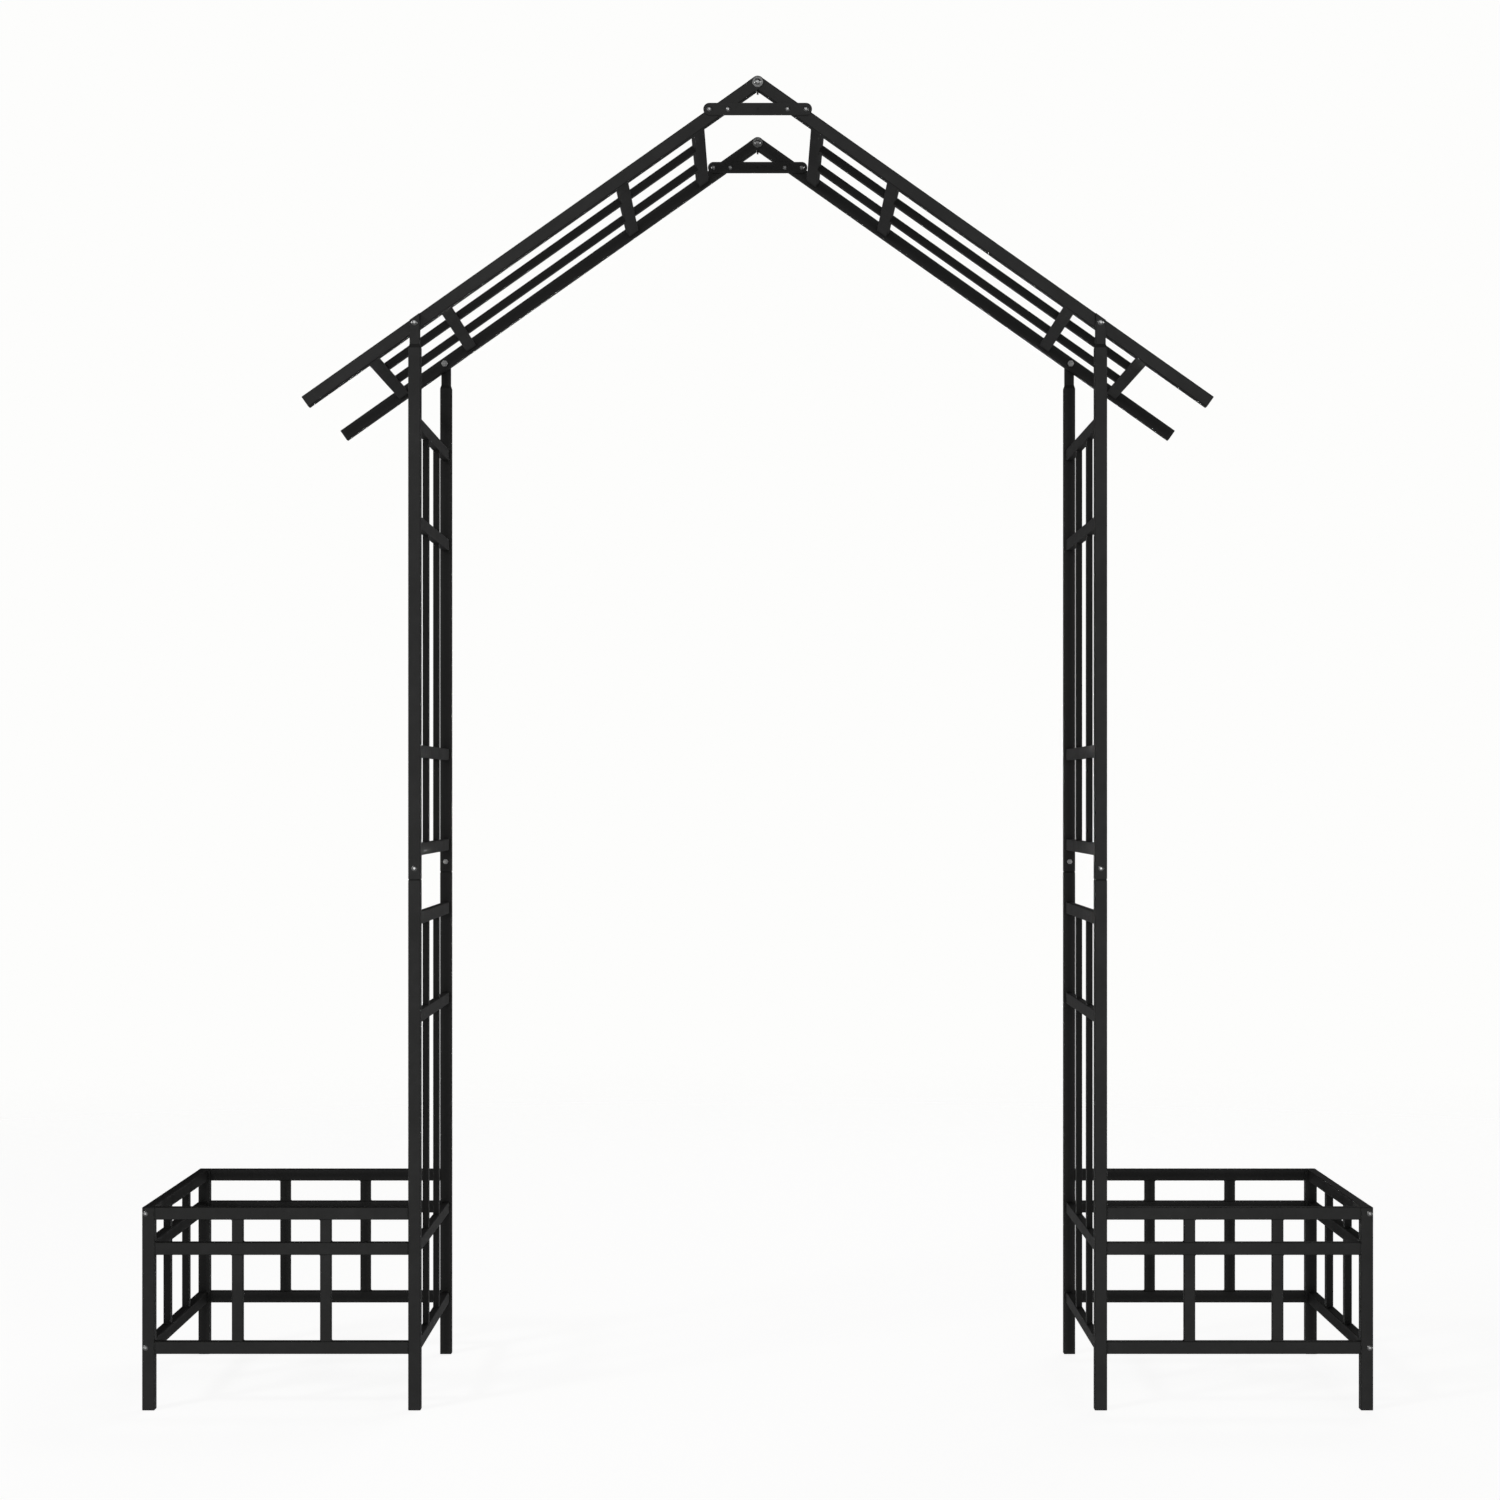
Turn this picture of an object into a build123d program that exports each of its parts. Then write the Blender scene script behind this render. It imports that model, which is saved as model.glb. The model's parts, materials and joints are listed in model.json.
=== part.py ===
from build123d import *
import math
import os

# Metal trellis arch: two ladder towers carry a pitched lattice roof over a walkway,
# and each tower has an open-bottomed planter fence on its outer side.
# Millimetres. X runs across the walkway, -Y is the front, +Z is up, and the
# origin is on the ground at the middle of the footprint.

# ---- driving dimensions --------------------------------------------------------

WIDTH = 1976.0            # outer face to outer face of the planter posts
DEPTH = 535.0             # front face to rear face of the posts
WALKWAY = 1082.0          # clear width between the two towers
PLANTER_HEIGHT = 326.0
RIDGE_HEIGHT = 2148.5     # where the upper faces of the rafters would meet
PITCH = 35.24             # roof slope in degrees
EAVE_REACH = 735.0        # from the middle to the upper corner of a rafter's end

TUBE = 20.0               # square tube of posts and rafters
TUBE_WALL = 1.0
TUBE_RADIUS = 1.6
NECK_RADIUS = 1.0         # a swaged neck has tighter corners than its tube
RAIL_HEIGHT = 20.0        # flat tube of rails and rungs
SLAT_WIDTH = 18.0
BAR_THICK = 12.0
LADDER_SLAT_THICK = 10.0
PLANTER_RAIL_THICK = 16.0  # flush with the outer faces of the posts
BAR_WALL = 0.8
BAR_RADIUS = 1.2
SHARPEST = 0.4            # smallest inside corner radius

ROOF_NECK = 16.0          # swaged upper end of an upper tower post
ROOF_NECK_DROP = 41.0     # its shoulder, below the roof bolt
ROOF_NECK_TAPER = 6.0
ROOF_NECK_CUT = 3.0       # its slanted end, straight down from the rafter's upper face
SPLICE_HEIGHT = 850.0     # shoulder of a lower tower post
SPLICE_TAPER = 3.0
SPLICE_LAP = 40.0
SPLICE_BOLT_RISE = 20.0   # bolt above the shoulder

FIRST_RUNG = 100.5
SECTION = 688.0           # first to last rung of one ladder section
SECTION_GAP = 111.5       # last rung of the lower section to first of the upper
RUNG_PAIR = 159.0         # spacing of the two rungs at each end of a section
PLANTER_RAILS = (100.5, 259.5, 316.0)
BOLTED_RAILS = (PLANTER_RAILS[0], PLANTER_RAILS[2])
PLANTER_BOLT_INSET = 5.5  # bolt axis from the outer face of the post
ROOF_RUNGS = (97.5, 221.0, 507.0, 625.0)   # from the middle, along X

TIE_HEIGHT = 2092.0
TIE_HALF = 77.7           # middle to the centre of a rounded end
TIE_WIDTH = 19.6
TIE_THICK = 3.0
TIE_INNER_BOLT = 48.0
TIE_DIMPLE = 1.6          # blind locating dimple in the middle of the bar
TIE_DIMPLE_DEPTH = 2.0
STOP_TAB = 3.0            # little tab under the ridge, width and drop
STOP_TAB_DROP = 4.5
STOP_TAB_ROOT = 2.0       # how far the tab reaches up into the lug

M6 = 3.0                  # shank radii
M5 = 2.5
HOLE_CLEARANCE = 0.25
M6_HEAD = 5.2
M5_HEAD = 4.4
HEAD_HEIGHT = 3.0
LOW_HEAD_HEIGHT = 2.0
HEAD_RIM = 0.4            # straight edge of a head below its dome
SOCKET_SHARE = 0.4        # hex socket across flats, to the head's diameter
SOCKET_DEPTH_SHARE = 0.6  # socket depth, to the head's height
M6_NUT = 10.0             # across flats
M5_NUT = 8.0
NUT_HEIGHT = 4.5
NUT_CHAMFER = 0.5
SHANK_TAIL = 1.5          # shank past its nut
TAIL_CHAMFER = 0.4
RIDGE_WASHER = 8.6
WASHER_THICK = 1.2

FLANGE = 2.0              # plastic plugs and caps
FLANGE_CHAMFER = 0.6
PLUG_DEPTH = 14.0
PLUG_WALL = 1.6
INSERT_DEPTH = 12.0
INSERT_RADIUS = 1.0
BOLT_GAP = 1.0            # between a post cap and the bolt below it

# ---- places worked out from them -----------------------------------------------

FRONT = -DEPTH / 2
POST_Y = FRONT + TUBE / 2
BAY = DEPTH - 2 * TUBE                     # between front and rear posts
TOWER_X = WALKWAY / 2 + TUBE / 2
PLANTER_X = WIDTH / 2 - TUBE / 2
SIDE_PANEL_X = WIDTH / 2 - PLANTER_RAIL_THICK / 2
FACE_PANEL_Y = FRONT + PLANTER_RAIL_THICK / 2
PLANTER_BOLT_X = WIDTH / 2 - PLANTER_BOLT_INSET
NECK_INSET = (TUBE - ROOF_NECK) / 2
RAFTER_FACE = FRONT + NECK_INSET + ROOF_NECK
RAFTER_Y = RAFTER_FACE + TUBE / 2
ROOF_BAY = -2 * (RAFTER_FACE + TUBE)       # between front and rear rafters
SPLICE_NECK = TUBE - 2 * TUBE_WALL
SPLICE_SEAT = SPLICE_HEIGHT + SPLICE_TAPER

SLOPE = math.radians(PITCH)
RIDGE_PIVOT = RIDGE_HEIGHT - TUBE / 2 / math.cos(SLOPE)
ROOF_BOLT_Z = RIDGE_PIVOT - TOWER_X * math.tan(SLOPE)
RAFTER_LENGTH = (EAVE_REACH - TUBE / 2 * math.sin(SLOPE)) / math.cos(SLOPE)
LUG = TUBE / 2 + 2.0                       # half-lapped ridge end, along the rafter
MOUTH_START = 3.0                          # where a tube's mouth round the other lug begins
MOUTH_GAP = 0.3
CAP_DEPTH = RAIL_HEIGHT / 2 - FLANGE - M5 - BOLT_GAP

LOWER_RUNGS = (
    FIRST_RUNG,
    FIRST_RUNG + RUNG_PAIR,
    FIRST_RUNG + SECTION - RUNG_PAIR,
    FIRST_RUNG + SECTION,
)
UPPER_RUNGS = tuple(z + SECTION + SECTION_GAP for z in LOWER_RUNGS)

SIDES = {"left": -1, "right": 1}
ENDS = {"front": -1, "rear": 1}

nodes = {}


# ---- shapes that repeat --------------------------------------------------------

def inside_radius(radius, wall):
    return max(radius - wall, SHARPEST)


def hollow(width, depth, wall, radius, length):
    """A rectangular tube on the XY plane, with rounded long edges."""
    outer = RectangleRounded(width, depth, radius)
    inner = RectangleRounded(width - 2 * wall, depth - 2 * wall, inside_radius(radius, wall))
    return extrude(outer - inner, length)


def square_tube(length):
    return hollow(TUBE, TUBE, TUBE_WALL, TUBE_RADIUS, length)


def flat_tube(width, depth, length):
    return hollow(width, depth, BAR_WALL, BAR_RADIUS, length)


def upright_slat(x, y, z0, z1, width, depth):
    return Pos(x, y, z0) * flat_tube(width, depth, z1 - z0)


def rail_across(x0, x1, y, z):
    """A rail along X with its broad side to the front."""
    return Pos(x0, y, z) * Rot(0, 90, 0) * flat_tube(RAIL_HEIGHT, PLANTER_RAIL_THICK, x1 - x0)


def bar_along_depth(x, z, length, width, height):
    """A flat tube along Y, centred on the middle of the depth."""
    return Pos(x, -length / 2, z) * Rot(-90, 0, 0) * flat_tube(width, height, length)


def pointing_back(shape, x, y, z):
    """Turns a shape that stands on XY so that it points along +Y, and places it."""
    return Pos(x, y, z) * Rot(-90, 0, 0) * shape


def hole_along_depth(x, z, radius):
    """A cutter through the whole depth at one place."""
    return pointing_back(extrude(Circle(radius + HOLE_CLEARANCE), 2 * DEPTH), x, -DEPTH, z)


def at_corner(shape, side, end):
    """Mirrors a right-hand front piece to the left and to the rear as asked."""
    if side < 0:
        shape = mirror(shape, Plane.YZ)
    if end > 0:
        shape = mirror(shape, Plane.XZ)
    return shape


def slat_places(low, high, width):
    """Centres of two slats that leave three equal gaps."""
    gap = (high - low - 2 * width) / 3
    first = low + gap + width / 2
    return first, first + gap + width


def spans(centres, half):
    """Clear stretches between neighbouring cross bars."""
    return [(a + half, b - half) for a, b in zip(centres, centres[1:])]


def neck(size, length):
    return hollow(size, size, TUBE_WALL, NECK_RADIUS, length)


def taper(size, height):
    """The swaged shoulder between a full tube and its narrower neck."""
    outer_low = RectangleRounded(TUBE, TUBE, TUBE_RADIUS)
    outer_high = Pos(0, 0, height) * RectangleRounded(size, size, NECK_RADIUS)
    clear = size - 2 * TUBE_WALL
    cavity = extrude(RectangleRounded(clear, clear, SHARPEST), height)
    return loft([outer_low, outer_high]) - cavity


# ---- fasteners -----------------------------------------------------------------

def button_bolt(shank, head, head_height, reach):
    """A domed head with a hex socket below the XY plane, and a shank that rises from it."""
    rise = head_height - HEAD_RIM
    crown = (head ** 2 + rise ** 2) / (2 * rise)
    dome = Pos(0, 0, crown - head_height) * Sphere(crown)
    cap = extrude(Circle(head), -head_height) & dome
    socket = RegularPolygon(head * SOCKET_SHARE, 6, major_radius=False)
    cap -= Pos(0, 0, -head_height) * extrude(socket, head_height * SOCKET_DEPTH_SHARE)
    stem = extrude(Circle(shank), reach)
    stem = chamfer(stem.edges().group_by(Axis.Z)[-1], TAIL_CHAMFER)
    return cap + stem


def hex_nut(across_flats, bore):
    """A hexagon whose corners are turned off at both faces."""
    outline = RegularPolygon(across_flats / 2, 6, major_radius=False)
    corner = across_flats / 2 / math.cos(math.pi / 6)
    turned = extrude(Circle(corner), NUT_HEIGHT)
    turned = chamfer(turned.edges().filter_by(GeomType.CIRCLE), NUT_CHAMFER)
    return (extrude(outline, NUT_HEIGHT) & turned) - extrude(Circle(bore), NUT_HEIGHT)


def end_plug(outer, wall, flange, depth):
    """A plastic plug: its flange rises from the XY plane and its hollow body hangs below."""
    lid = extrude(RectangleRounded(outer, outer, TUBE_RADIUS), flange)
    lid = chamfer(lid.edges().group_by(Axis.Z)[-1], FLANGE_CHAMFER)
    inner = outer - 2 * wall
    body = extrude(RectangleRounded(inner, inner, inside_radius(TUBE_RADIUS, wall)), -depth)
    opening = inner - 2 * PLUG_WALL
    hollowing = extrude(Rectangle(opening, opening), -depth)
    return lid + (body - hollowing)


# ---- towers ----------------------------------------------------------------------

def lower_post():
    full = Pos(0, 0, FLANGE) * square_tube(SPLICE_HEIGHT - FLANGE)
    shoulder = Pos(0, 0, SPLICE_HEIGHT) * taper(SPLICE_NECK, SPLICE_TAPER)
    top = Pos(0, 0, SPLICE_SEAT) * neck(SPLICE_NECK, SPLICE_LAP)
    post = Pos(TOWER_X, POST_Y, 0) * (full + shoulder + top)
    return post - hole_along_depth(TOWER_X, SPLICE_HEIGHT + SPLICE_BOLT_RISE, M5)


def upper_post():
    """Sits on the lower post's shoulder and ends in a neck cut and closed to the roof's slope."""
    shoulder_z = ROOF_BOLT_Z - ROOF_NECK_DROP
    full = Pos(0, 0, SPLICE_SEAT) * square_tube(shoulder_z - SPLICE_SEAT)
    shoulder = Pos(0, 0, shoulder_z) * taper(ROOF_NECK, ROOF_NECK_TAPER)
    neck_z = shoulder_z + ROOF_NECK_TAPER
    top = Pos(0, 0, neck_z) * neck(ROOF_NECK, RIDGE_HEIGHT - neck_z)
    post = Pos(TOWER_X, POST_Y, 0) * (full + shoulder + top)
    uphill = (math.sin(SLOPE), 0, math.cos(SLOPE))
    cut_height = RIDGE_HEIGHT - ROOF_NECK_CUT
    roof_top = Plane(origin=(0, 0, cut_height), z_dir=uphill)
    under_lid = Plane(origin=(0, 0, cut_height - along_rafter(TUBE_WALL)), z_dir=uphill)
    filling = extrude(Rectangle(ROOF_NECK - TUBE_WALL, ROOF_NECK - TUBE_WALL), RIDGE_HEIGHT - neck_z)
    lid = split(Pos(TOWER_X, POST_Y, neck_z) * filling, bisect_by=under_lid, keep=Keep.TOP)
    post = split(post + lid, bisect_by=roof_top, keep=Keep.BOTTOM)
    post -= hole_along_depth(TOWER_X, ROOF_BOLT_Z, M6)
    return post - hole_along_depth(TOWER_X, SPLICE_HEIGHT + SPLICE_BOLT_RISE, M5)


def ladder_rungs(heights):
    return [bar_along_depth(TOWER_X, z, BAY, BAR_THICK, RAIL_HEIGHT) for z in heights]


def ladder_slats(heights):
    slats = []
    for y in slat_places(-BAY / 2, BAY / 2, SLAT_WIDTH):
        for z0, z1 in spans(heights, RAIL_HEIGHT / 2):
            slats.append(upright_slat(TOWER_X, y, z0, z1, LADDER_SLAT_THICK, SLAT_WIDTH))
    return slats


# ---- planter fences --------------------------------------------------------------

def planter_post():
    post = Pos(PLANTER_X, POST_Y, FLANGE) * square_tube(PLANTER_HEIGHT - 2 * FLANGE)
    for z in BOLTED_RAILS:
        post -= hole_along_depth(PLANTER_BOLT_X, z, M5)
    return post


def face_rails():
    x0 = TOWER_X + TUBE / 2
    x1 = PLANTER_X - TUBE / 2
    return [rail_across(x0, x1, FACE_PANEL_Y, z) for z in PLANTER_RAILS]


def face_slats():
    slats = []
    for x in slat_places(TOWER_X + TUBE / 2, PLANTER_X - TUBE / 2, SLAT_WIDTH):
        for z0, z1 in spans(PLANTER_RAILS, RAIL_HEIGHT / 2):
            slats.append(upright_slat(x, FACE_PANEL_Y, z0, z1, SLAT_WIDTH, BAR_THICK))
    return slats


def side_rails():
    rails = []
    for z in PLANTER_RAILS:
        rails.append(bar_along_depth(SIDE_PANEL_X, z, BAY, PLANTER_RAIL_THICK, RAIL_HEIGHT))
    return rails


def side_slats():
    slats = []
    for y in slat_places(-BAY / 2, BAY / 2, SLAT_WIDTH):
        for z0, z1 in spans(PLANTER_RAILS, RAIL_HEIGHT / 2):
            slats.append(upright_slat(SIDE_PANEL_X, y, z0, z1, BAR_THICK, SLAT_WIDTH))
    return slats


def rail_insert(z):
    """The threaded block inside the front end of a bolted side rail, its bore off centre."""
    width = PLANTER_RAIL_THICK - 2 * BAR_WALL
    height = RAIL_HEIGHT - 2 * BAR_WALL
    bore = Pos(PLANTER_BOLT_X - SIDE_PANEL_X, 0) * Circle(M5)
    block = extrude(RectangleRounded(width, height, INSERT_RADIUS) - bore, INSERT_DEPTH)
    return pointing_back(block, SIDE_PANEL_X, FRONT + TUBE, z)


# ---- roof ------------------------------------------------------------------------

def on_slope(shape, y=0.0):
    """Places a shape drawn with the ridge pivot at its origin and +X down the rafter."""
    return Pos(0, y, RIDGE_PIVOT) * Rot(0, PITCH, 0) * shape


def along_rafter(x):
    return x / math.cos(SLOPE)


def ridge_lug(depth, gap=0.0):
    """The round-ended lug with its pivot at the origin, from the middle of the tube's depth."""
    outline = Circle(TUBE / 2 + gap) + Pos(LUG / 2, 0) * Rectangle(LUG, TUBE + 2 * gap)
    return Rot(90, 0, 0) * extrude(outline, -depth)


def stop_tab(gap=0.0):
    """The little tab that hangs from the rear lug into the angle of the rafters."""
    top = RIDGE_PIVOT - TUBE / 2 + STOP_TAB_ROOT
    foot = RIDGE_PIVOT - TUBE / 2 / math.cos(SLOPE) - STOP_TAB_DROP - gap
    from_middle = (Align.CENTER, Align.MIN, Align.MIN)
    return Pos(0, 0, foot) * Box(STOP_TAB + 2 * gap, TUBE / 2, top - foot, align=from_middle)


def rafter(side, centre_y):
    """A tube with a half-lapped lug at the ridge: left in front, right behind.

    The other half of its depth ends in a mouth that fits round the other rafter's lug.
    """
    run = RAFTER_LENGTH - FLANGE - MOUTH_START
    body = Pos(MOUTH_START, 0, 0) * Rot(0, 90, 0) * square_tube(run)
    across = TUBE - TUBE_WALL
    closing = Pos(LUG, 0, 0) * Rot(0, 90, 0) * extrude(Rectangle(across, across), TUBE_WALL)
    other_lug = mirror(on_slope(ridge_lug(-side * TUBE, MOUTH_GAP)), Plane.YZ)
    shape = on_slope(body + closing) - other_lug
    shape += on_slope(ridge_lug(side * TUBE / 2))
    if side > 0:
        shape += stop_tab()
    else:
        shape = mirror(shape, Plane.YZ) - stop_tab(MOUTH_GAP)
    shape = Pos(0, centre_y, 0) * shape
    shape -= hole_along_depth(0, RIDGE_PIVOT, M6)
    shape -= hole_along_depth(side * TOWER_X, ROOF_BOLT_Z, M6)
    for x in (TIE_INNER_BOLT, TIE_HALF):
        shape -= hole_along_depth(side * x, TIE_HEIGHT, M5)
    return shape


def roof_rungs():
    places = [along_rafter(x) for x in ROOF_RUNGS]
    return [on_slope(bar_along_depth(u, 0, ROOF_BAY, RAIL_HEIGHT, BAR_THICK)) for u in places]


def roof_slats():
    places = [along_rafter(x) for x in ROOF_RUNGS]
    slats = []
    for y in slat_places(-ROOF_BAY / 2, ROOF_BAY / 2, SLAT_WIDTH):
        for u0, u1 in spans(places, RAIL_HEIGHT / 2):
            slat = Pos(u0, y, 0) * Rot(0, 90, 0) * flat_tube(BAR_THICK, SLAT_WIDTH, u1 - u0)
            slats.append(on_slope(slat))
    return slats


def tie_bar(face_y):
    """A flat bar with round ends that lies against the front faces of two rafters."""
    outline = SlotCenterToCenter(2 * TIE_HALF, TIE_WIDTH)
    for x in (TIE_INNER_BOLT, TIE_HALF):
        outline -= Pos(x, 0) * Circle(M5 + HOLE_CLEARANCE)
        outline -= Pos(-x, 0) * Circle(M5 + HOLE_CLEARANCE)
    plate = extrude(outline, TIE_THICK) - extrude(Circle(TIE_DIMPLE), TIE_DIMPLE_DEPTH)
    return pointing_back(plate, 0, face_y - TIE_THICK, TIE_HEIGHT)


# ---- the assembly ------------------------------------------------------------------

for side_name, side in SIDES.items():
    for end_name, end in ENDS.items():
        nodes[f"{side_name}_tower_lower_{end_name}_post"] = at_corner(lower_post(), side, end)
        nodes[f"{side_name}_tower_upper_{end_name}_post"] = at_corner(upper_post(), side, end)
        nodes[f"{side_name}_planter_{end_name}_post"] = at_corner(planter_post(), side, end)
        rails = [at_corner(rail, side, end) for rail in face_rails()]
        slats = [at_corner(slat, side, end) for slat in face_slats()]
        nodes[f"{side_name}_planter_{end_name}_rails"] = Compound(rails)
        nodes[f"{side_name}_planter_{end_name}_slats"] = Compound(slats)
        nodes[f"{side_name}_{end_name}_rafter"] = rafter(side, RAFTER_Y * -end)
    groups = {
        "tower_lower_rungs": ladder_rungs(LOWER_RUNGS),
        "tower_upper_rungs": ladder_rungs(UPPER_RUNGS),
        "tower_lower_slats": ladder_slats(LOWER_RUNGS),
        "tower_upper_slats": ladder_slats(UPPER_RUNGS),
        "planter_side_rails": side_rails(),
        "planter_side_slats": side_slats(),
        "roof_rungs": roof_rungs(),
        "roof_slats": roof_slats(),
    }
    for name, pieces in groups.items():
        nodes[f"{side_name}_{name}"] = Compound([at_corner(p, side, -1) for p in pieces])

# The two roof trusses are assembled the same way round, with their heads to the front.
truss_faces = {"front": RAFTER_FACE, "rear": -RAFTER_FACE - TUBE}
ridge_bolts = []
ridge_washers = []
ridge_nuts = []
tie_bolts = []
tie_nuts = []
for end_name, face in truss_faces.items():
    nodes[f"{end_name}_tie_bar"] = tie_bar(face)
    back = face + TUBE
    disc = extrude(Circle(RIDGE_WASHER) - Circle(M6), WASHER_THICK)
    ridge_washers.append(pointing_back(disc, 0, face - WASHER_THICK, RIDGE_PIVOT))
    ridge_washers.append(pointing_back(disc, 0, back, RIDGE_PIVOT))
    reach = TUBE + 2 * WASHER_THICK + NUT_HEIGHT + SHANK_TAIL
    pin = button_bolt(M6, M6_HEAD, HEAD_HEIGHT, reach)
    ridge_bolts.append(pointing_back(pin, 0, face - WASHER_THICK, RIDGE_PIVOT))
    nut = hex_nut(M6_NUT, M6)
    ridge_nuts.append(pointing_back(nut, 0, back + WASHER_THICK, RIDGE_PIVOT))
    for x in (-TIE_HALF, -TIE_INNER_BOLT, TIE_INNER_BOLT, TIE_HALF):
        reach = TIE_THICK + TUBE + NUT_HEIGHT + SHANK_TAIL
        pin = button_bolt(M5, M5_HEAD, HEAD_HEIGHT, reach)
        tie_bolts.append(pointing_back(pin, x, face - TIE_THICK, TIE_HEIGHT))
        tie_nuts.append(pointing_back(hex_nut(M5_NUT, M5), x, back, TIE_HEIGHT))

roof_bolts = []
roof_nuts = []
splice_bolts = []
splice_nuts = []
planter_bolts = []
rail_inserts = []
foot_plugs = []
post_caps = []
eave_caps = []
for side in SIDES.values():
    for end in ENDS.values():
        reach = ROOF_NECK + TUBE + NUT_HEIGHT + SHANK_TAIL
        pin = button_bolt(M6, M6_HEAD, HEAD_HEIGHT, reach)
        pin = pointing_back(pin, TOWER_X, FRONT + NECK_INSET, ROOF_BOLT_Z)
        roof_bolts.append(at_corner(pin, side, end))
        nut = pointing_back(hex_nut(M6_NUT, M6), TOWER_X, RAFTER_FACE + TUBE, ROOF_BOLT_Z)
        roof_nuts.append(at_corner(nut, side, end))

        splice_z = SPLICE_HEIGHT + SPLICE_BOLT_RISE
        pin = button_bolt(M5, M5_HEAD, LOW_HEAD_HEIGHT, TUBE + NUT_HEIGHT + SHANK_TAIL)
        splice_bolts.append(at_corner(pointing_back(pin, TOWER_X, FRONT, splice_z), side, end))
        nut = pointing_back(hex_nut(M5_NUT, M5), TOWER_X, FRONT + TUBE, splice_z)
        splice_nuts.append(at_corner(nut, side, end))

        for z in BOLTED_RAILS:
            pin = button_bolt(M5, M5_HEAD, LOW_HEAD_HEIGHT, TUBE + INSERT_DEPTH)
            pin = pointing_back(pin, PLANTER_BOLT_X, FRONT, z)
            planter_bolts.append(at_corner(pin, side, end))
            rail_inserts.append(at_corner(rail_insert(z), side, end))

        plug = end_plug(TUBE, TUBE_WALL, FLANGE, PLUG_DEPTH)
        for x in (TOWER_X, PLANTER_X):
            foot = Pos(x, POST_Y, FLANGE) * Rot(180, 0, 0) * plug
            foot_plugs.append(at_corner(foot, side, end))
        shallow = end_plug(TUBE, TUBE_WALL, FLANGE, CAP_DEPTH)
        cap = Pos(PLANTER_X, POST_Y, PLANTER_HEIGHT - FLANGE) * shallow
        post_caps.append(at_corner(cap, side, end))
        cap = on_slope(Pos(RAFTER_LENGTH - FLANGE, 0, 0) * Rot(0, 90, 0) * plug, RAFTER_Y)
        eave_caps.append(at_corner(cap, side, end))

shared = {
    "ridge_bolts": ridge_bolts,
    "ridge_washers": ridge_washers,
    "ridge_nuts": ridge_nuts,
    "tie_bar_bolts": tie_bolts,
    "tie_bar_nuts": tie_nuts,
    "roof_bolts": roof_bolts,
    "roof_nuts": roof_nuts,
    "splice_bolts": splice_bolts,
    "splice_nuts": splice_nuts,
    "planter_bolts": planter_bolts,
    "planter_rail_inserts": rail_inserts,
    "foot_plugs": foot_plugs,
    "planter_post_caps": post_caps,
    "rafter_end_caps": eave_caps,
}
for name, pieces in shared.items():
    nodes[name] = Compound(pieces)

os.makedirs("parts", exist_ok=True)
for name, shape in nodes.items():
    export_step(shape, f"parts/{name}.step")
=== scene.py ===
import json
import math
import random

import bmesh
import bpy
from mathutils import Matrix, Vector


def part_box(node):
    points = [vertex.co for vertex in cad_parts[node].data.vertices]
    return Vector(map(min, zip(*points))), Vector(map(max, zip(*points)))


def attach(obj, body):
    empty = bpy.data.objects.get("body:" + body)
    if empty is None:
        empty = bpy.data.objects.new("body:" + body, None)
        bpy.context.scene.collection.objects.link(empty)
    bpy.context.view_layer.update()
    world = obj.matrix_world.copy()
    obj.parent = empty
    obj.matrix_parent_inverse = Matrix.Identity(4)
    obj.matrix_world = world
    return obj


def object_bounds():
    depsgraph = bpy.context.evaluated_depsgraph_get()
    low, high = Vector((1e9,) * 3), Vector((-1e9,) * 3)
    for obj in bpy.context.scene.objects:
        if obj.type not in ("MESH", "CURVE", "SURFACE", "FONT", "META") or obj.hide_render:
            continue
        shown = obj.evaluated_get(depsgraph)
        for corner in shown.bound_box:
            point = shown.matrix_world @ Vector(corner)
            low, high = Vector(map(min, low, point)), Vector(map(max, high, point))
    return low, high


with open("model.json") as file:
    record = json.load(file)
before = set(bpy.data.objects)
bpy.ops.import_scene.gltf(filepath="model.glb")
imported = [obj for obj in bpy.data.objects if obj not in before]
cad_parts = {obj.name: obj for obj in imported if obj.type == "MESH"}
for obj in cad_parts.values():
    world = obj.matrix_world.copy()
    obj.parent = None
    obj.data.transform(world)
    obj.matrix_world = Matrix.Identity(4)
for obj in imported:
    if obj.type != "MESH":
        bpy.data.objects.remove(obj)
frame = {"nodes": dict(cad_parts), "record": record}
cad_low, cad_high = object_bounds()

# The welded and bolted garden arch in satin black powder coat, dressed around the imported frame.
# Metres, in the frame's own axes: X across the walkway, -Y the front, +Z up.

MM = 0.001

# ---- the view and the room -----------------------------------------------------

VIEW_DISTANCE = 5.115        # from the front faces of the posts to the camera
EYE_HEIGHT = 0.988
LENS = 76.5                  # focal length and sensor width, in millimetres
SENSOR = 36.0
VIEW_SHIFT = (-0.0051, 0.0299)

FLOOR_RADIUS = 9.0
FLOOR_SIDES = 96
FLOOR_FADE = (2.2, 6.5)      # where the floor starts and ends its fade into the backdrop

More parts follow.
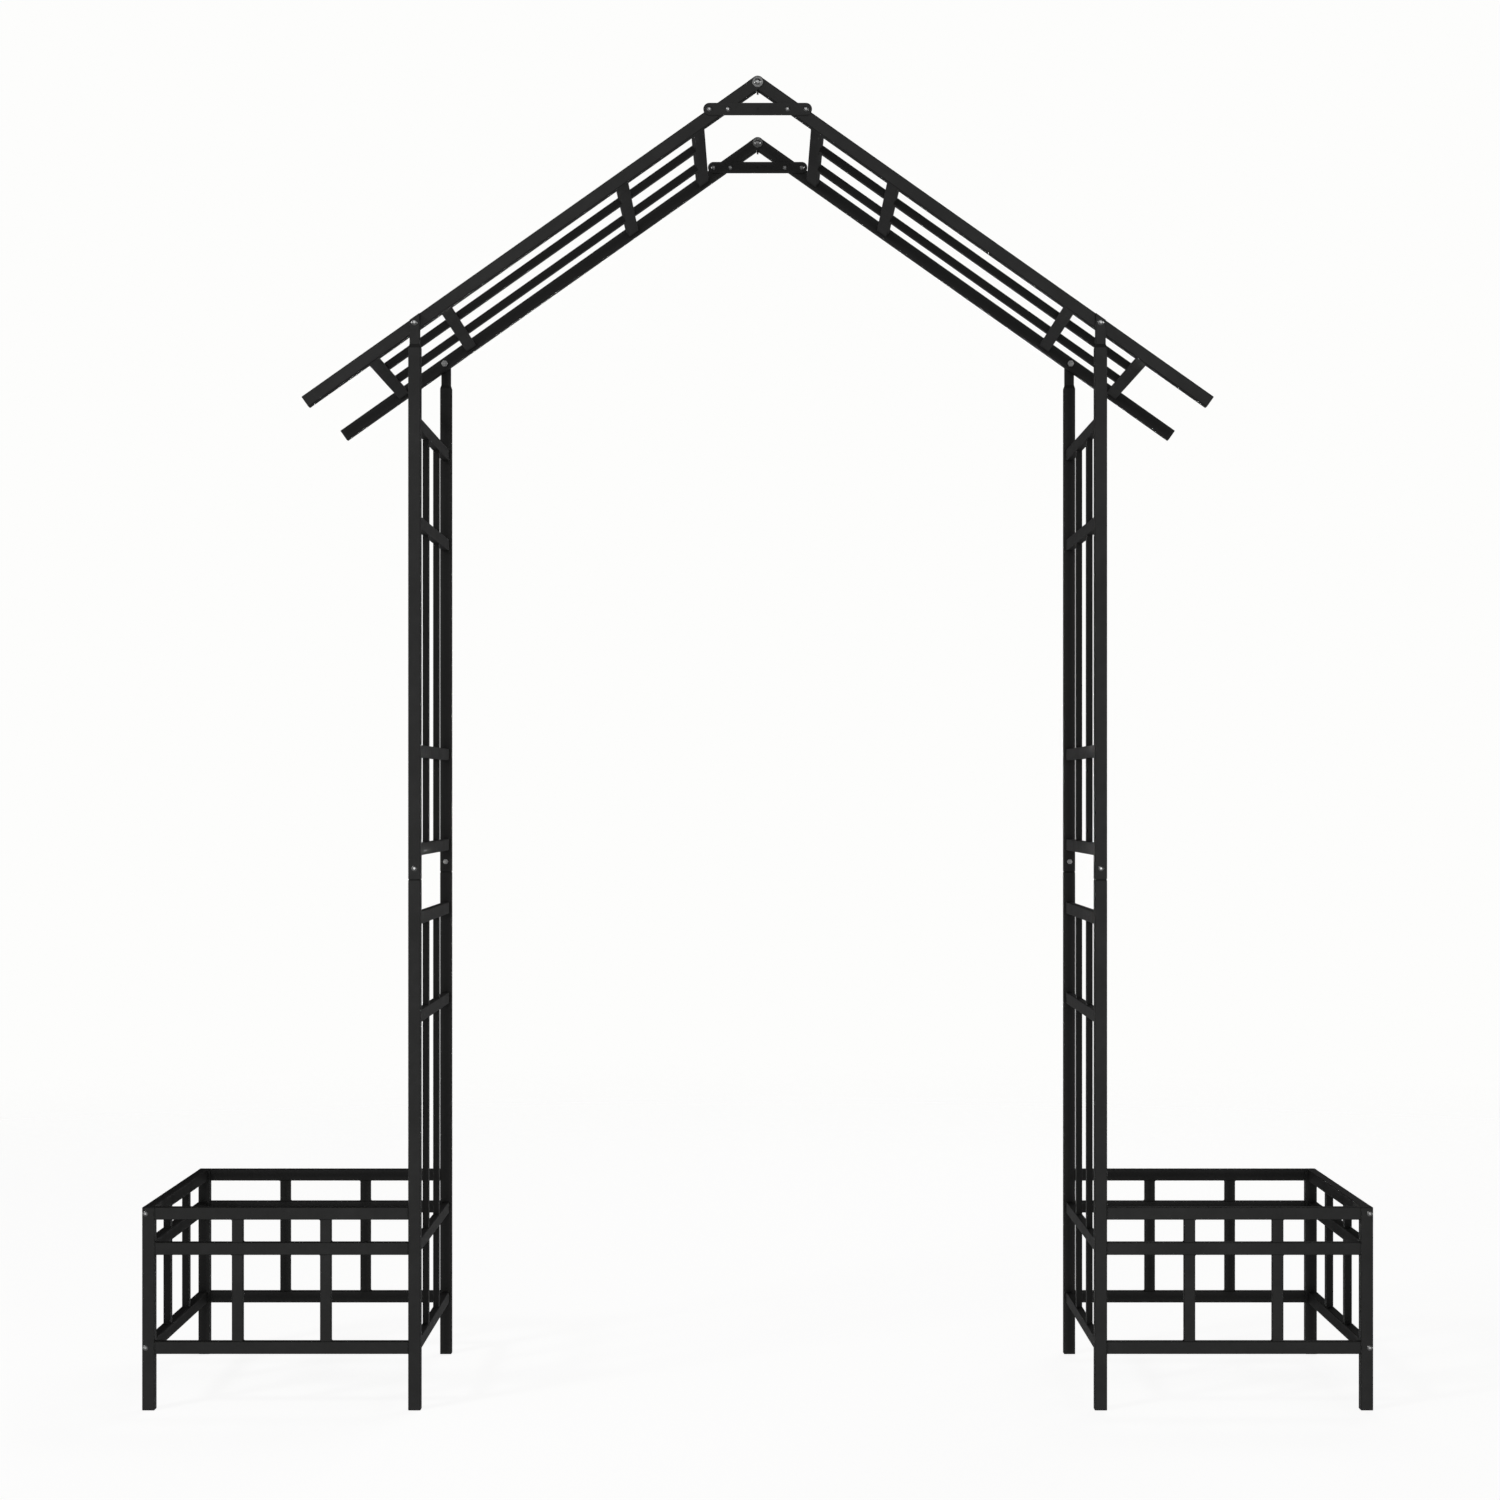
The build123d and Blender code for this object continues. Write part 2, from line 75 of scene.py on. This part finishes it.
BACKDROP = "#fdfdfc"
FLOOR_PAINT = "#d8d7d5"
FLOOR_GLOW = 0.88            # even light of the floor itself, which keeps its shadows pale
ROOM_LEVEL = {"front": 0.04, "back": 0.008, "above": 0.03, "floor": 0.17}
FLOOR_GLARE = (-0.02, -0.14) # Z of a direction where the room's bright floor starts and is full
ROOM_DEPTH = (-0.6, 0.9)     # Y of a direction where the room has its front and its back level
ROOM_RISE = (0.3, 1.0)       # Z of a direction where the light from above starts and is full
MIDDLE = (0, 0, cad_high.z / 2)
SOFTBOXES = {                # where it hangs, what it faces, width and height, watts
    "front_card": ((0, -8.5, 1.3), (0, 0, 1.3), (7.0, 7.0), 80),
    "key_softbox": ((-4.5, -4.5, 4.5), MIDDLE, (1.0, 1.0), 40),
    "rear_softbox": ((1.5, 4.0, 5.0), MIDDLE, (3.0, 2.0), 25),
}

FAR_LIGHT_WIDTH = math.radians(2.0)
FAR_LIGHTS = {               # degrees round the arch from the front, watts per square metre
    "far_front_light": (0, 0.34),
    "far_right_light": (90, 0.45),
    "far_right_rear_light": (135, 0.15),
    "far_rear_light": (180, 0.55),
    "far_left_rear_light": (225, 0.15),
    "far_left_light": (270, 0.45),
}

# ---- the steel -----------------------------------------------------------------

ROOF_PITCH = math.radians(35.24)
BEAD_RADIUS = 1.5 * MM       # leg of a fillet weld in the corner of bar and post
BEAD_PITCH = 1.6 * MM        # from one ripple of a weld bead to the next
BEAD_SIDES = 8
BEAD_TIP = 0.55              # radius at a bead's ends, to its full radius
BEAD_TROUGH = 0.86           # radius between two ripples, to its full radius
BEAD_WOBBLE = 0.07           # how far a ripple's radius strays, to its radius
BEAD_VARIETY = 5             # different beads of each length
BEAD_MARGIN = 1 * MM         # a bead stops this short of each edge of its bar


def linear(hexcode):
    """An sRGB hex colour as linear RGBA."""
    channels = [int(hexcode[i:i + 2], 16) / 255 for i in (1, 3, 5)]
    straight = [c / 12.92 if c <= 0.04045 else ((c + 0.055) / 1.055) ** 2.4 for c in channels]
    return (*straight, 1.0)


def add(tree, kind, settings=None, links=None):
    """Adds one node. Settings name its options or inputs, and links name its inputs."""
    node = tree.nodes.new(kind)
    for name, value in (settings or {}).items():
        if name in node.inputs:
            node.inputs[name].default_value = value
        else:
            setattr(node, name, value)
    for name, source in (links or {}).items():
        tree.links.new(source, node.inputs[name])
    return node


def per_metre(size_mm):
    """Noise scale whose features are about this many millimetres across."""
    return 1 / (size_mm * MM)


def shader(name, settings):
    """A new material with one Principled shader, which is returned with its node tree."""
    material = bpy.data.materials.new(name)
    material.use_nodes = True
    tree = material.node_tree
    tree.nodes.clear()
    principled = add(tree, "ShaderNodeBsdfPrincipled", settings)
    add(tree, "ShaderNodeOutputMaterial", links={"Surface": principled.outputs["BSDF"]})
    return material, tree, principled


# ---- materials -----------------------------------------------------------------

def powder_coat():
    """Satin black polyester powder coat, sprayed and baked on welded steel tube.

    It is a near-black plastic film with a fine orange peel, and its gloss drifts a little
    from place to place where the spray lay thicker.
    """
    material, tree, film = shader("satin_black_powder_coat", {"IOR": 1.5})
    position = add(tree, "ShaderNodeTexCoord").outputs["Object"]

    drift = add(tree, "ShaderNodeTexNoise", {"Scale": per_metre(90.0), "Detail": 3.0},
                {"Vector": position})
    blotch = add(tree, "ShaderNodeTexNoise",
                 {"Scale": per_metre(14.0), "Detail": 4.0, "Roughness": 0.6}, {"Vector": position})
    tone = add(tree, "ShaderNodeMix", {"data_type": "FLOAT", "Factor": 0.4},
               {"A": drift.outputs["Fac"], "B": blotch.outputs["Fac"]})
    colour = add(tree, "ShaderNodeValToRGB", links={"Fac": tone.outputs[0]})
    colour.color_ramp.elements[0].position = 0.3
    colour.color_ramp.elements[0].color = linear("#1a1a19")
    colour.color_ramp.elements[1].position = 0.7
    colour.color_ramp.elements[1].color = linear("#232322")
    tree.links.new(colour.outputs["Color"], film.inputs["Base Color"])

    gloss = add(tree, "ShaderNodeMapRange",
                {"From Min": 0.3, "From Max": 0.7, "To Min": 0.5, "To Max": 0.62},
                {"Value": tone.outputs[0]})
    tree.links.new(gloss.outputs["Result"], film.inputs["Roughness"])

    # Orange peel is 1 to 2 mm across on the real coat. It is drawn at 3 mm so that it shows.
    peel = add(tree, "ShaderNodeTexNoise", {"Scale": per_metre(3.0), "Detail": 1.0},
               {"Vector": position})
    grit = add(tree, "ShaderNodeTexNoise", {"Scale": per_metre(0.9), "Detail": 2.0},
               {"Vector": position})
    relief = add(tree, "ShaderNodeMix", {"data_type": "FLOAT", "Factor": 0.3},
                 {"A": peel.outputs["Fac"], "B": grit.outputs["Fac"]})
    bump = add(tree, "ShaderNodeBump", {"Strength": 0.5, "Distance": 0.12 * MM},
               {"Height": relief.outputs[0]})
    tree.links.new(bump.outputs["Normal"], film.inputs["Normal"])
    return material


def passivated_zinc(name, film, rubbed):
    """Zinc plating with a passivation film on cold-headed or pressed steel.

    It is a grey metal with a soft sheen and rubbed patches. The film runs from the first
    colour, where it is thick, to the second, where it is rubbed.
    """
    material, tree, metal = shader(name, {"Metallic": 1.0})
    position = add(tree, "ShaderNodeTexCoord").outputs["Object"]
    patch = add(tree, "ShaderNodeTexNoise",
                {"Scale": per_metre(2.5), "Detail": 4.0, "Roughness": 0.6}, {"Vector": position})
    colour = add(tree, "ShaderNodeValToRGB", links={"Fac": patch.outputs["Fac"]})
    colour.color_ramp.elements[0].position = 0.35
    colour.color_ramp.elements[0].color = linear(film)
    colour.color_ramp.elements[1].position = 0.7
    colour.color_ramp.elements[1].color = linear(rubbed)
    tree.links.new(colour.outputs["Color"], metal.inputs["Base Color"])
    gloss = add(tree, "ShaderNodeMapRange", {"To Min": 0.3, "To Max": 0.42},
                {"Value": patch.outputs["Fac"]})
    tree.links.new(gloss.outputs["Result"], metal.inputs["Roughness"])
    marks = add(tree, "ShaderNodeTexNoise", {"Scale": per_metre(0.6), "Detail": 3.0},
                {"Vector": position})
    bump = add(tree, "ShaderNodeBump", {"Strength": 0.35, "Distance": 0.05 * MM},
               {"Height": marks.outputs["Fac"]})
    tree.links.new(bump.outputs["Normal"], metal.inputs["Normal"])
    return material


def turned_steel():
    """Plain turned steel blocks inside the rail ends: brighter, with fine turning marks.

    The rings of a wave texture stand about a third of its stated size apart, so 2 mm here.
    """
    material, tree, metal = shader("plain_turned_steel", {"Metallic": 1.0})
    position = add(tree, "ShaderNodeTexCoord").outputs["Object"]
    rings = add(tree, "ShaderNodeTexWave",
                {"wave_type": "RINGS", "rings_direction": "Y", "Scale": per_metre(6.0),
                 "Distortion": 1.5}, {"Vector": position})
    colour = add(tree, "ShaderNodeValToRGB", links={"Fac": rings.outputs["Fac"]})
    colour.color_ramp.elements[0].color = linear("#8f9092")
    colour.color_ramp.elements[1].color = linear("#b4b4b3")
    tree.links.new(colour.outputs["Color"], metal.inputs["Base Color"])
    gloss = add(tree, "ShaderNodeMapRange", {"To Min": 0.3, "To Max": 0.42},
                {"Value": rings.outputs["Fac"]})
    tree.links.new(gloss.outputs["Result"], metal.inputs["Roughness"])
    return material


def moulded_polyethylene():
    """Injection-moulded black polyethylene plugs: matt, faintly waxy, with a spark-eroded grain."""
    material, tree, plastic = shader("moulded_black_polyethylene", {"IOR": 1.51})
    position = add(tree, "ShaderNodeTexCoord").outputs["Object"]
    grain = add(tree, "ShaderNodeTexNoise",
                {"Scale": per_metre(0.8), "Detail": 3.0, "Roughness": 0.7}, {"Vector": position})
    flow = add(tree, "ShaderNodeTexNoise", {"Scale": per_metre(9.0)}, {"Vector": position})
    colour = add(tree, "ShaderNodeValToRGB", links={"Fac": flow.outputs["Fac"]})
    colour.color_ramp.elements[0].position = 0.3
    colour.color_ramp.elements[0].color = linear("#17181a")
    colour.color_ramp.elements[1].position = 0.7
    colour.color_ramp.elements[1].color = linear("#222325")
    tree.links.new(colour.outputs["Color"], plastic.inputs["Base Color"])
    gloss = add(tree, "ShaderNodeMapRange", {"To Min": 0.55, "To Max": 0.7},
                {"Value": grain.outputs["Fac"]})
    tree.links.new(gloss.outputs["Result"], plastic.inputs["Roughness"])
    bump = add(tree, "ShaderNodeBump", {"Strength": 0.5, "Distance": 0.08 * MM},
               {"Height": grain.outputs["Fac"]})
    tree.links.new(bump.outputs["Normal"], plastic.inputs["Normal"])
    return material


FINISHES = {
    "black_powder_coat": powder_coat(),
    "zinc_plated_fastener": passivated_zinc("clear_zinc_plating", "#9c9d9e", "#c9c9c7"),
    "black_zinc_washer": passivated_zinc("black_zinc_plating", "#5c5d5e", "#8d8d8b"),
    "bare_steel_insert": turned_steel(),
    "plug_plastic": moulded_polyethylene(),
}

for subpart in frame["record"]["subparts"]:
    node = frame["nodes"][subpart["node"]]
    for holder in node.material_slots:
        holder.material = FINISHES[subpart["material_slot"]]


# ---- weld beads ----------------------------------------------------------------

def bar_boxes(node_name, tilt=0.0):
    """Low and high corners of each separate bar in a node, in axes turned by tilt about Y."""
    merged = bmesh.new()
    merged.from_mesh(frame["nodes"][node_name].data)
    bmesh.ops.remove_doubles(merged, verts=merged.verts, dist=0.01 * MM)
    bmesh.ops.rotate(merged, verts=merged.verts, matrix=Matrix.Rotation(tilt, 3, "Y"))
    waiting = set(merged.verts)
    boxes = []
    while waiting:
        edge_of_bar = [waiting.pop()]
        bar = []
        while edge_of_bar:
            vert = edge_of_bar.pop()
            bar.append(vert.co.copy())
            for edge in vert.link_edges:
                other = edge.other_vert(vert)
                if other in waiting:
                    waiting.remove(other)
                    edge_of_bar.append(other)
        low = Vector(min(p[i] for p in bar) for i in range(3))
        high = Vector(max(p[i] for p in bar) for i in range(3))
        boxes.append((low, high))
    merged.free()
    return boxes


def bead(length, wobble):
    """One rippled fillet bead along Z, centred, as a closed round-section run of weld metal."""
    steps = max(6, 2 * round(length / BEAD_PITCH))
    shape = bmesh.new()
    start = Matrix.Translation((0, 0, -length / 2))
    bmesh.ops.create_circle(shape, cap_ends=True, radius=BEAD_RADIUS * BEAD_TIP,
                            segments=BEAD_SIDES, matrix=start)
    tip = shape.faces[:]
    size = BEAD_TIP
    for step in range(1, steps + 1):
        grown = bmesh.ops.extrude_face_region(shape, geom=tip + tip[0].edges[:])
        ring = [v for v in grown["geom"] if isinstance(v, bmesh.types.BMVert)]
        tip = [f for f in grown["geom"] if isinstance(f, bmesh.types.BMFace)]
        crest = 1.0 if step % 2 else BEAD_TROUGH
        if step == steps:
            target = BEAD_TIP
        else:
            target = crest * (1 + wobble.uniform(-BEAD_WOBBLE, BEAD_WOBBLE))
        bmesh.ops.translate(shape, verts=ring, vec=(0, 0, length / steps))
        from_middle = Matrix.Translation((0, 0, length / 2 - length * step / steps))
        bmesh.ops.scale(shape, verts=ring, vec=(target / size, target / size, 1),
                        space=from_middle)
        size = target
    bmesh.ops.recalc_face_normals(shape, faces=shape.faces)
    mesh = bpy.data.meshes.new("bead")
    shape.to_mesh(mesh)
    shape.free()
    return mesh


X, Y, Z = range(3)
LAY_ALONG = {
    X: Matrix.Rotation(math.pi / 2, 4, "Y"),
    Y: Matrix.Rotation(math.pi / 2, 4, "X"),
    Z: Matrix.Identity(4),
}
bead_stock = {}


def bead_like(length, rng):
    """A bead of about this length from a small stock of different ones."""
    key = round(length / MM)
    if key not in bead_stock:
        bead_stock[key] = [bead(length, random.Random(100 * key + k)) for k in range(BEAD_VARIETY)]
    return rng.choice(bead_stock[key])


def weld_bars(shape, boxes, along, side, tilt, rng):
    """Lays two beads at both ends of each bar.

    along is the axis that the bar runs on and side the axis of the two faces that get a bead.
    The bead follows the third axis, in the corner between that face and what the bar meets.
    """
    run = 3 - along - side
    for low, high in boxes:
        length = high[run] - low[run] - 2 * BEAD_MARGIN
        middle = (low + high) / 2
        for end in (low[along], high[along]):
            for face in (low[side], high[side]):
                corner = middle.copy()
                corner[along] = end
                corner[side] = face
                spin = Matrix.Rotation(rng.uniform(0, math.tau), 4, "Z")
                place = Matrix.Rotation(-tilt, 4, "Y") @ Matrix.Translation(corner)
                laid = bead_like(length, rng).copy()
                laid.transform(place @ LAY_ALONG[run] @ spin)
                shape.from_mesh(laid)
                bpy.data.meshes.remove(laid)


def weld_piece(name, jobs):
    """One piece holding all the beads of a welded panel. Each job is (node, along, side, tilt)."""
    rng = random.Random(name)
    shape = bmesh.new()
    for node_name, along, side, tilt in jobs:
        weld_bars(shape, bar_boxes(node_name, tilt), along, side, tilt, rng)
    for face in shape.faces:
        face.smooth = True
    mesh = bpy.data.meshes.new(name)
    shape.to_mesh(mesh)
    shape.free()
    mesh.materials.append(FINISHES["black_powder_coat"])
    piece = bpy.data.objects.new(name, mesh)
    bpy.context.scene.collection.objects.link(piece)
    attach(piece, "root")
    return piece


for side, roof_turn in (("left", ROOF_PITCH), ("right", -ROOF_PITCH)):
    for section in ("lower", "upper"):
        weld_piece(f"{side}_tower_{section}_welds", [
            (f"{side}_tower_{section}_rungs", Y, X, 0.0),
            (f"{side}_tower_{section}_slats", Z, Y, 0.0),
        ])
    for end in ("front", "rear"):
        weld_piece(f"{side}_planter_{end}_welds", [
            (f"{side}_planter_{end}_rails", X, Y, 0.0),
            (f"{side}_planter_{end}_slats", Z, X, 0.0),
        ])
    weld_piece(f"{side}_planter_side_welds", [(f"{side}_planter_side_slats", Z, Y, 0.0)])
    weld_piece(f"{side}_roof_welds", [
        (f"{side}_roof_rungs", Y, Z, roof_turn),
        (f"{side}_roof_slats", X, Y, roof_turn),
    ])


# ---- floor, light and camera ---------------------------------------------------

def studio_floor():
    """A pale disc on the ground that fades into the backdrop at its rim."""
    shape = bmesh.new()
    bmesh.ops.create_circle(shape, cap_ends=True, radius=FLOOR_RADIUS, segments=FLOOR_SIDES)
    mesh = bpy.data.meshes.new("studio_floor")
    shape.to_mesh(mesh)
    shape.free()
    floor = bpy.data.objects.new("studio_floor", mesh)
    bpy.context.scene.collection.objects.link(floor)

    material, tree, paint = shader("matt_white_floor_paint", {
        "Base Color": linear(FLOOR_PAINT), "Roughness": 0.9, "Specular IOR Level": 0.2,
        "Emission Color": linear("#ffffff"), "Emission Strength": FLOOR_GLOW})
    position = add(tree, "ShaderNodeTexCoord").outputs["Object"]
    radius = add(tree, "ShaderNodeVectorMath", {"operation": "LENGTH"}, {0: position})
    fade = add(tree, "ShaderNodeMapRange",
               {"interpolation_type": "SMOOTHSTEP", "From Min": FLOOR_FADE[0],
                "From Max": FLOOR_FADE[1]}, {"Value": radius.outputs["Value"]})
    clear = add(tree, "ShaderNodeBsdfTransparent")
    mix = add(tree, "ShaderNodeMixShader", links={
        0: fade.outputs["Result"], 1: paint.outputs["BSDF"], 2: clear.outputs["BSDF"]})
    output = next(n for n in tree.nodes if n.type == "OUTPUT_MATERIAL")
    tree.links.new(mix.outputs["Shader"], output.inputs["Surface"])
    mesh.materials.append(material)
    floor.visible_diffuse = False
    floor.visible_glossy = False
    floor.visible_shadow = False


def softbox(name, location, target, size, power):
    light = bpy.data.lights.new(name, "AREA")
    light.shape = "RECTANGLE"
    light.size, light.size_y = size
    light.energy = power
    lamp = bpy.data.objects.new(name, light)
    lamp.location = location
    lamp.rotation_euler = (Vector(target) - Vector(location)).to_track_quat("-Z", "Y").to_euler()
    bpy.context.scene.collection.objects.link(lamp)


def studio_world():
    """A white backdrop to the eye. The room that lights the arch is dim, with a bright floor."""
    world = bpy.data.worlds.new("studio")
    world.use_nodes = True
    tree = world.node_tree
    tree.nodes.clear()
    backdrop = add(tree, "ShaderNodeBackground", {"Color": linear(BACKDROP), "Strength": 1.0})
    direction = add(tree, "ShaderNodeTexCoord").outputs["Generated"]
    parts = add(tree, "ShaderNodeSeparateXYZ", links={"Vector": direction})
    depth = add(tree, "ShaderNodeMapRange",
                {"From Min": ROOM_DEPTH[0], "From Max": ROOM_DEPTH[1],
                 "To Min": ROOM_LEVEL["front"], "To Max": ROOM_LEVEL["back"]},
                {"Value": parts.outputs["Y"]})
    rise = add(tree, "ShaderNodeMapRange",
               {"From Min": ROOM_RISE[0], "From Max": ROOM_RISE[1], "To Max": ROOM_LEVEL["above"]},
               {"Value": parts.outputs["Z"]})
    glare = add(tree, "ShaderNodeMapRange",
                {"From Min": FLOOR_GLARE[0], "From Max": FLOOR_GLARE[1],
                 "To Max": ROOM_LEVEL["floor"]}, {"Value": parts.outputs["Z"]})
    walls = add(tree, "ShaderNodeMath", {"operation": "ADD"},
                {0: depth.outputs["Result"], 1: rise.outputs["Result"]})
    level = add(tree, "ShaderNodeMath", {"operation": "MAXIMUM"},
                {0: walls.outputs["Value"], 1: glare.outputs["Result"]})
    room = add(tree, "ShaderNodeBackground", {"Color": linear("#ffffff")},
               {"Strength": level.outputs["Value"]})
    eye = add(tree, "ShaderNodeLightPath")
    mix = add(tree, "ShaderNodeMixShader", links={
        0: eye.outputs["Is Camera Ray"], 1: room.outputs["Background"],
        2: backdrop.outputs["Background"]})
    add(tree, "ShaderNodeOutputWorld", links={"Surface": mix.outputs["Shader"]})
    bpy.context.scene.world = world


def far_light(name, around, power):
    """Level light from far away, so that what stands behind another bar is in its shade."""
    light = bpy.data.lights.new(name, "SUN")
    light.energy = power
    light.angle = FAR_LIGHT_WIDTH
    lamp = bpy.data.objects.new(name, light)
    lamp.rotation_euler = (math.pi / 2, 0, math.radians(around))
    bpy.context.scene.collection.objects.link(lamp)


def camera():
    lens = bpy.data.cameras.new("camera")
    lens.sensor_width = SENSOR
    lens.lens = LENS
    lens.shift_x, lens.shift_y = VIEW_SHIFT
    eye = bpy.data.objects.new("camera", lens)
    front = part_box("left_tower_lower_front_post")[0].y
    eye.location = (0, front - VIEW_DISTANCE, EYE_HEIGHT)
    eye.rotation_euler = (math.pi / 2, 0, 0)
    bpy.context.scene.collection.objects.link(eye)
    bpy.context.scene.camera = eye


studio_floor()
studio_world()
for name, (around, power) in FAR_LIGHTS.items():
    far_light(name, around, power)
for name, (place, target, size, power) in SOFTBOXES.items():
    softbox(name, place, target, size, power)
camera()

bpy.context.scene.view_settings.view_transform = "Standard"
bpy.context.scene.view_settings.look = "None"
